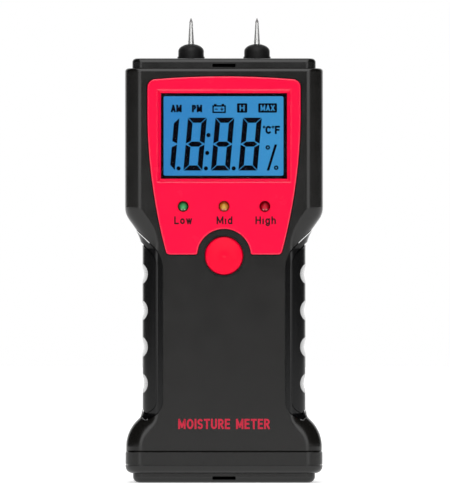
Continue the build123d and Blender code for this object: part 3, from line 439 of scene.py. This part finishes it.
GLYPHS = {
    "A": (0.72, zigzag((0, 0), (0.36, 1), (0.72, 0)) + [[(0.13, 0.3), (0.59, 0.3)]]),
    "C": (0.66, [arc(0.36, 0.5, 0.36, 0.5, 48, 312, 18)]),
    "E": (0.52, [[(0.52, 1), (0, 1), (0, 0), (0.52, 0)], [(0, 0.52), (0.46, 0.52)]]),
    "F": (0.50, [[(0.50, 1), (0, 1), (0, 0)], [(0, 0.5), (0.44, 0.5)]]),
    "H": (0.62, [[(0, 0), (0, 1)], [(0.62, 0), (0.62, 1)], [(0, 0.52), (0.62, 0.52)]]),
    "I": (0.0, [[(0, 0), (0, 1)]]),
    "L": (0.50, [[(0, 1), (0, 0), (0.50, 0)]]),
    "M": (0.84, zigzag((0, 0), (0, 1), (0.42, 0.16), (0.84, 1), (0.84, 0))),
    "O": (0.76, [arc(0.38, 0.5, 0.38, 0.5, 0, 360, 24)]),
    "P": (0.56, [[(0, 0), (0, 1)] + arc(0.28, 0.74, 0.28, 0.26, 90, -90, 12) + [(0, 0.48)]]),
    "R": (0.58, [
        [(0, 0), (0, 1)] + arc(0.28, 0.74, 0.28, 0.26, 90, -90, 12) + [(0, 0.48)],
        [(0.26, 0.48), (0.58, 0)],
    ]),
    "S": (0.54, [arc(0.27, 0.74, 0.27, 0.26, 40, 270, 14) + arc(0.27, 0.24, 0.27, 0.24, 90, -140, 14)]),
    "T": (0.62, [[(0, 1), (0.62, 1)], [(0.31, 1), (0.31, 0)]]),
    "U": (0.64, [[(0, 1)] + arc(0.32, 0.32, 0.32, 0.32, 180, 360, 14) + [(0.64, 1)]]),
    "X": (0.66, [[(0, 0), (0.66, 1)], [(0.66, 0), (0, 1)]]),
    "d": (0.5, [arc(0.25, 0.35, 0.25, 0.35, 0, 360, 20), [(0.5, 0), (0.5, 1)]]),
    "g": (0.5, [
        arc(0.25, 0.35, 0.25, 0.35, 0, 360, 20),
        [(0.5, 0.7), (0.5, 0)] + arc(0.25, -0.06, 0.25, 0.24, 0, -150, 10),
    ]),
    "h": (0.46, [[(0, 0), (0, 1)], arc(0.23, 0.42, 0.23, 0.28, 180, 0, 12) + [(0.46, 0)]]),
    "i": (0.0, [[(0, 0), (0, X_HEIGHT - 0.06)], [(0, 1.0), (0, 1.02)]]),
    "o": (0.52, [arc(0.26, 0.35, 0.26, 0.35, 0, 360, 20)]),
    "w": (0.72, zigzag((0, X_HEIGHT), (0.18, 0), (0.36, X_HEIGHT), (0.54, 0), (0.72, X_HEIGHT))),
    " ": (0.3, []),
}


def stroke_outline(points, width):
    """Quads along a polyline drawn with a square pen of this width, mitred at its bends."""
    left, right = [], []
    count = len(points)
    points = list(points)
    if math.dist(points[0], points[-1]) > width / 8:
        for end, beside in ((0, 1), (-1, -2)):
            length = math.dist(points[end], points[beside])
            points[end] = tuple(
                p + (p - q) / length * width / 2 for p, q in zip(points[end], points[beside])
            )
    for i, (x, z) in enumerate(points):
        before = points[max(i - 1, 0)]
        after = points[min(i + 1, count - 1)]
        into = Vector((x - before[0], z - before[1]))
        out = Vector((after[0] - x, after[1] - z))
        into = into.normalized() if into.length else out.normalized()
        out = out.normalized() if out.length else into
        across = (into + out).normalized()
        across = Vector((-across.y, across.x))
        reach = width / 2 / max(MITRE_LIMIT, across.dot(Vector((-into.y, into.x))))
        left.append((x + across.x * reach, z + across.y * reach))
        right.append((x - across.x * reach, z - across.y * reach))
    return [[left[i], left[i + 1], right[i + 1], right[i]] for i in range(count - 1)]


def lettering(name, text, x, z, height, width, pen, face_y, thickness, material, body):
    """Stroke letters fitted into a box: x is the word's centre, z its baseline, height a capital's height,
    width the whole word's and pen the stroke's, all over the ink."""
    tall = height - pen
    gap = LETTER_GAP + pen / tall
    natural = sum(GLYPHS[letter][0] for letter in text) + gap * (len(text) - 1)
    wide = (width - pen) / natural
    cursor = x - (width - pen) / 2
    outlines = []
    for letter in text:
        glyph_width, strokes = GLYPHS[letter]
        for stroke in strokes:
            points = [(cursor + px * wide, z + pen / 2 + pz * tall) for px, pz in stroke]
            outlines += stroke_outline(points, pen)
        cursor += (glyph_width + gap) * wide
    return plates(name, outlines, face_y, thickness, material, body)


# ---------------------------------------------------------------- display
lcd_low, lcd_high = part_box("lcd_panel")
lcd_z = (lcd_low.z + lcd_high.z) / 2
lcd_y = lcd_low.y
lcd_size = (lcd_high.x - lcd_low.x, lcd_high.z - lcd_low.z)
lcd_corner = 0.2 * MM
lit_x = -0.15 * MM
lit_size = (36.4 * MM, 24.1 * MM)
lit_corner = 0.5 * MM

# The lit field, the mask round it and the ink on it are thin layers that grow towards the user.
layer = 0.02 * MM
mask_thickness = 3 * layer
ink_thickness = 2 * layer
ink_y = lcd_y - layer - ink_thickness

lit_blue = backlit("lit_blue", (0.026, 0.235, 0.560), (0.040, 0.295, 0.610), 0.92)
lcd_ink = ink("lcd_ink", (0.0015, 0.0020, 0.0060), 0.4)
mask_ink = ink("mask_ink", (0.006, 0.006, 0.009), 0.35)

lit_outline = rounded_outline(lit_x, lcd_z, *lit_size, lit_corner)
mask_band = band_outlines(rounded_outline(0, lcd_z, *lcd_size, lcd_corner), lit_outline)
plates("lcd_lit_field", [lit_outline], lcd_y - layer, layer, lit_blue, "housing")
plates("lcd_mask", mask_band, lcd_y - mask_thickness, mask_thickness, mask_ink, "housing")


def display_marks(name, outlines):
    """Dark marks on the lit field."""
    return plates(name, outlines, ink_y, ink_thickness, lcd_ink, "housing")


def display_word(name, text, x, z, height, width, pen):
    """A dark word on the lit field."""
    return lettering(name, text, x, z, height, width, pen, ink_y, ink_thickness, lcd_ink, "housing")


digit_slant = math.tan(math.radians(5.0))
digit_base = lcd_z - 10.5 * MM
digit_height = 16.05 * MM
digit_width = 5.75 * MM
digit_lefts = (-12.35 * MM, -4.0 * MM, 4.35 * MM)
leading_one_left = -20.7 * MM
segment_width = 1.55 * MM
segment_gap = 0.14 * MM
middle_tip = 0.35 * segment_width      # from the digit's side to the middle segment's tip


def sheared(points, x, z):
    """Points of a digit moved into place, leaning to the right as they rise."""
    return [(x + px + pz * digit_slant, z + pz) for px, pz in points]


def digit_segments(x, z, wanted="abcdefg"):
    """Outlines of a seven-segment digit whose lower left corner is (x, z)."""
    wide, high, bar, gap = digit_width, digit_height, segment_width, segment_gap
    half = high / 2
    cut = bar / 2
    segments = {
        "a": [(gap, high), (wide - gap, high), (wide - bar - gap, high - bar), (bar + gap, high - bar)],
        "d": [(bar + gap, bar), (wide - bar - gap, bar), (wide - gap, 0), (gap, 0)],
        "g": [
            (middle_tip + gap, half), (bar + gap, half + cut), (wide - bar - gap, half + cut),
            (wide - middle_tip - gap, half), (wide - bar - gap, half - cut), (bar + gap, half - cut),
        ],
        "f": [(0, high - gap), (bar, high - bar - gap), (bar, half + cut + gap), (0, half + gap)],
        "e": [(0, half - gap), (bar, half - cut - gap), (bar, bar + gap), (0, gap)],
        "b": [
            (wide, high - gap), (wide - bar, high - bar - gap), (wide - bar, half + cut + gap),
            (wide, half + gap),
        ],
        "c": [(wide, half - gap), (wide - bar, half - cut - gap), (wide - bar, bar + gap), (wide, gap)],
    }
    return [sheared(segments[letter], x, z) for letter in wanted]


digits = []
for left in digit_lefts:
    digits += digit_segments(left, digit_base)
digits += digit_segments(leading_one_left, digit_base, "bc")
display_marks("lcd_digits", digits)

dot_radius = 0.64 * MM
decimal_points = [(-13.8, 0.65), (-5.5, 0.65), (2.94, 0.65)]
colon = [(-4.72, 10.75), (-5.1, 5.35)]
display_marks(
    "lcd_points",
    [disc_outline(dx * MM, digit_base + dz * MM, dot_radius) for dx, dz in decimal_points + colon],
)

legend_z = lcd_z + 7.2 * MM
legend_height = 2.25 * MM
bold = 0.60 * MM
for legend, text, legend_x, legend_width in (("lcd_am", "AM", -14.5, 3.3), ("lcd_pm", "PM", -8.2, 3.1)):
    display_word(legend, text, legend_x * MM, legend_z, legend_height, legend_width * MM, bold)


def battery_symbol(x, z):
    """Outlines of a battery: a case in outline with two terminals on top, a minus and a plus in it."""
    case_width, case_height, case_line = 4.1 * MM, 2.4 * MM, 0.45 * MM
    terminal_x, terminal_z, terminal_size = 1.15 * MM, 1.4 * MM, (0.8 * MM, 0.4 * MM)
    sign_x, sign_size = 0.85 * MM, (0.95 * MM, 0.32 * MM)
    arm_z, arm_size = 0.3 * MM, (0.32 * MM, 0.36 * MM)
    corner = 0.05 * MM
    outer = rounded_outline(x, z, case_width, case_height, 3 * corner)
    inner = rounded_outline(x, z, case_width - 2 * case_line, case_height - 2 * case_line, 2 * corner)
    outlines = band_outlines(outer, inner)
    for side in (-1, 1):
        outlines.append(rounded_outline(x + side * terminal_x, z + terminal_z, *terminal_size, corner))
        outlines.append(rounded_outline(x + side * sign_x, z, *sign_size, corner))
    for side in (1, -1):
        outlines.append(rounded_outline(x + sign_x, z + side * arm_z, *arm_size, corner))
    return outlines


display_marks("lcd_battery_symbol", battery_symbol(-1.5 * MM, legend_z + 0.95 * MM))

# boxed legends: blue letters on a dark tile
tile_height, tile_rise, tile_corner = 2.85 * MM, 1.3 * MM, 0.35 * MM
tile_text_height, tile_text_rise, tile_pen = 1.8 * MM, 0.4 * MM, 0.36 * MM
for tag, text, tag_x, tag_width, text_width in (("h", "H", 5.5, 3.15, 1.5), ("max", "MAX", 13.25, 5.7, 4.3)):
    tile = rounded_outline(tag_x * MM, legend_z + tile_rise, tag_width * MM, tile_height, tile_corner)
    display_marks(f"lcd_tile_{tag}", [tile])
    lettering(
        f"lcd_tile_{tag}_text", text, tag_x * MM, legend_z + tile_text_rise, tile_text_height,
        text_width * MM, tile_pen, ink_y - layer, layer, lit_blue, "housing",
    )

# degree C, degree F and per cent
unit_z = lcd_z + 0.6 * MM
unit_height = 2.5 * MM
for unit, text, unit_x, unit_width in (("lcd_unit_c", "C", 13.45, 1.8), ("lcd_unit_f", "F", 16.2, 1.55)):
    display_word(unit, text, unit_x * MM, unit_z, unit_height, unit_width * MM, bold)
degree_z = unit_z + 2.1 * MM
degree_outer, degree_inner = 0.42 * MM, 0.12 * MM
degree_rings = []
for degree_x in (12.2 * MM, 14.9 * MM):
    degree_rings += band_outlines(
        disc_outline(degree_x, degree_z, degree_outer, 16),
        disc_outline(degree_x, degree_z, degree_inner, 16),
    )
display_marks("lcd_degree_rings", degree_rings)

slash_half = 0.4 * MM
slash_low_x, slash_high_x, slash_height = 13.35 * MM, 15.75 * MM, 7.9 * MM
percent = [[
    (slash_low_x - slash_half, digit_base), (slash_low_x + slash_half, digit_base),
    (slash_high_x + slash_half, digit_base + slash_height),
    (slash_high_x - slash_half, digit_base + slash_height),
]]
percent_outer, percent_inner = 0.70 * MM, 0.24 * MM
for ring_x, ring_z in ((13.3 * MM, digit_base + 7.0 * MM), (15.85 * MM, digit_base + 0.85 * MM)):
    percent += band_outlines(
        disc_outline(ring_x, ring_z, percent_outer), disc_outline(ring_x, ring_z, percent_inner),
    )
display_marks("lcd_percent", percent)


# ---------------------------------------------------------------- printing on the case
fascia_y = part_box("fascia")[0].y
shell_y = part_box("front_shell")[0].y
label_ink = ink("label_ink", (0.022, 0.010, 0.012), 0.45)
title_ink = ink("title_ink", (0.56, 0.030, 0.060), 0.4)
label_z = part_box("led_mid")[0].z - 3.5 * MM
label_height = 2.35 * MM
label_pen = 0.42 * MM
for label, text, label_x, label_width in (
    ("label_low", "Low", -12.4, 5.4), ("label_mid", "Mid", 0.15, 4.8), ("label_high", "High", 12.65, 6.2),
):
    lettering(
        label, text, label_x * MM, label_z, label_height, label_width * MM, label_pen, fascia_y - layer,
        layer, label_ink, "housing",
    )

title_z, title_height, title_width, title_pen = 16.4 * MM, 3.1 * MM, 27.8 * MM, 0.58 * MM
lettering(
    "title_print", "MOISTURE METER", 0, title_z, title_height, title_width, title_pen, shell_y - layer,
    layer, title_ink, "housing",
)


# ---------------------------------------------------------------- latch slots
# A dark plate near the bottom of each front slot is painted shade: it stands in for the shadow deep in the
# slot.
slot_size, slot_corner = (7.0 * MM, 1.0 * MM), 0.05 * MM
# painted shade: a near-black, barely glossy finish for the plates that darken the slots
slot_shade_plate = moulded("slot_shade_plate", (0.0012, 0.0012, 0.0012), 0.7, specular=0.02)
shade_plate_depth = 2.4 * MM
shade_plate_thickness = 0.1 * MM
base_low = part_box("base_cap")[0]
base_spigot_inset, base_slot_rise = 2.3 * MM, 0.95 * MM
top_slot_rise = 0.35 * MM              # above the shell's top
for shade_plate, face_y, slot_low, slot_name in (
    ("base_slot_shade_plate", base_low.y + base_spigot_inset, base_low.z + base_slot_rise, "shell"),
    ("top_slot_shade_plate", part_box("electrode_block")[0].y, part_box("front_shell")[1].z + top_slot_rise, "block"),
):
    opening = rounded_outline(0, slot_low + slot_size[1] / 2, *slot_size, slot_corner, steps=2)
    plates(shade_plate, [opening], face_y + shade_plate_depth, shade_plate_thickness, slot_shade_plate, "housing")


# ---------------------------------------------------------------- studio
FRONT_LEVEL = 2.35       # a tall strip light in front, over and under the meter
BACK_LEVEL = 1.3         # the white sweep behind it
SHADOW_LEVEL = 0.03      # black flags on both sides
# where each light fades in, as the start and end of a direction's X or Y part
STRIP_SIDE = (0.46, 0.24)
STRIP_BACK = (0.30, -0.10)
LENS_HOLE = (-0.9975, -0.975)
SWEEP = (0.50, 0.85)


def studio_world():
    """Soft white light from in front, above and behind, with dark flags to the left and right that draw
    the rounded edges. The camera sees plain white."""
    world = bpy.data.worlds.new("studio")
    bpy.context.scene.world = world
    world.use_nodes = True
    tree = world.node_tree
    background = tree.nodes["Background"]
    direction = tree.nodes.new("ShaderNodeTexCoord").outputs["Generated"]
    parts = tree.nodes.new("ShaderNodeSeparateXYZ")
    tree.links.new(direction, parts.inputs[0])

    def ramp(source, start, end):
        """Rises smoothly from 0 at start to 1 at end."""
        node = tree.nodes.new("ShaderNodeMapRange")
        node.interpolation_type = "SMOOTHSTEP"
        node.inputs["From Min"].default_value = start
        node.inputs["From Max"].default_value = end
        tree.links.new(source, node.inputs["Value"])
        return node.outputs["Result"]

    def combine(operation, a, b=None):
        node = tree.nodes.new("ShaderNodeMath")
        node.operation = operation
        for value, socket in zip((a, b), node.inputs):
            if isinstance(value, float):
                socket.default_value = value
            elif value is not None:
                tree.links.new(value, socket)
        return node.outputs[0]

    across = combine("ABSOLUTE", parts.outputs["X"])
    strip = combine("MULTIPLY", ramp(across, *STRIP_SIDE), ramp(parts.outputs["Y"], *STRIP_BACK))
    lens_hole = ramp(parts.outputs["Y"], *LENS_HOLE)
    front = combine("MULTIPLY", combine("MULTIPLY", strip, lens_hole), FRONT_LEVEL)
    back = combine("MULTIPLY", ramp(parts.outputs["Y"], *SWEEP), BACK_LEVEL)
    light = combine("ADD", combine("ADD", front, back), SHADOW_LEVEL)
    seen = tree.nodes.new("ShaderNodeLightPath").outputs["Is Camera Ray"]
    choose = tree.nodes.new("ShaderNodeMix")
    tree.links.new(seen, choose.inputs["Factor"])
    tree.links.new(light, choose.inputs["A"])
    choose.inputs["B"].default_value = 1.0
    tree.links.new(choose.outputs["Result"], background.inputs["Color"])
    background.inputs["Strength"].default_value = 1.0


def studio_floor():
    """A wide floor just under the meter's base."""
    half = 3.0
    drop = 0.05 * MM
    bm = bmesh.new()
    bmesh.ops.create_grid(bm, x_segments=4, y_segments=4, size=half)
    mesh = bpy.data.meshes.new("studio_floor")
    bm.to_mesh(mesh)
    bm.free()
    floor = bpy.data.objects.new("studio_floor", mesh)
    bpy.context.scene.collection.objects.link(floor)
    floor.location.z = -drop
    floor.data.materials.append(floor_paint())


studio_world()
studio_floor()

# The picture's height is measured at the meter's front face, seen square on from a long way off.
picture_height = 152.7 * MM
distance = 3.0
camera_place = (0.3 * MM, shell_y - distance, 70.3 * MM)
camera = bpy.data.cameras.new("camera")
camera.sensor_fit = "VERTICAL"
camera.sensor_height = 36.0
camera.lens = camera.sensor_height * distance / picture_height
camera_object = bpy.data.objects.new("camera", camera)
bpy.context.scene.collection.objects.link(camera_object)
camera_object.location = camera_place
camera_object.rotation_euler = (math.pi / 2, 0, 0)
bpy.context.scene.camera = camera_object
bpy.context.scene.view_settings.view_transform = "Standard"
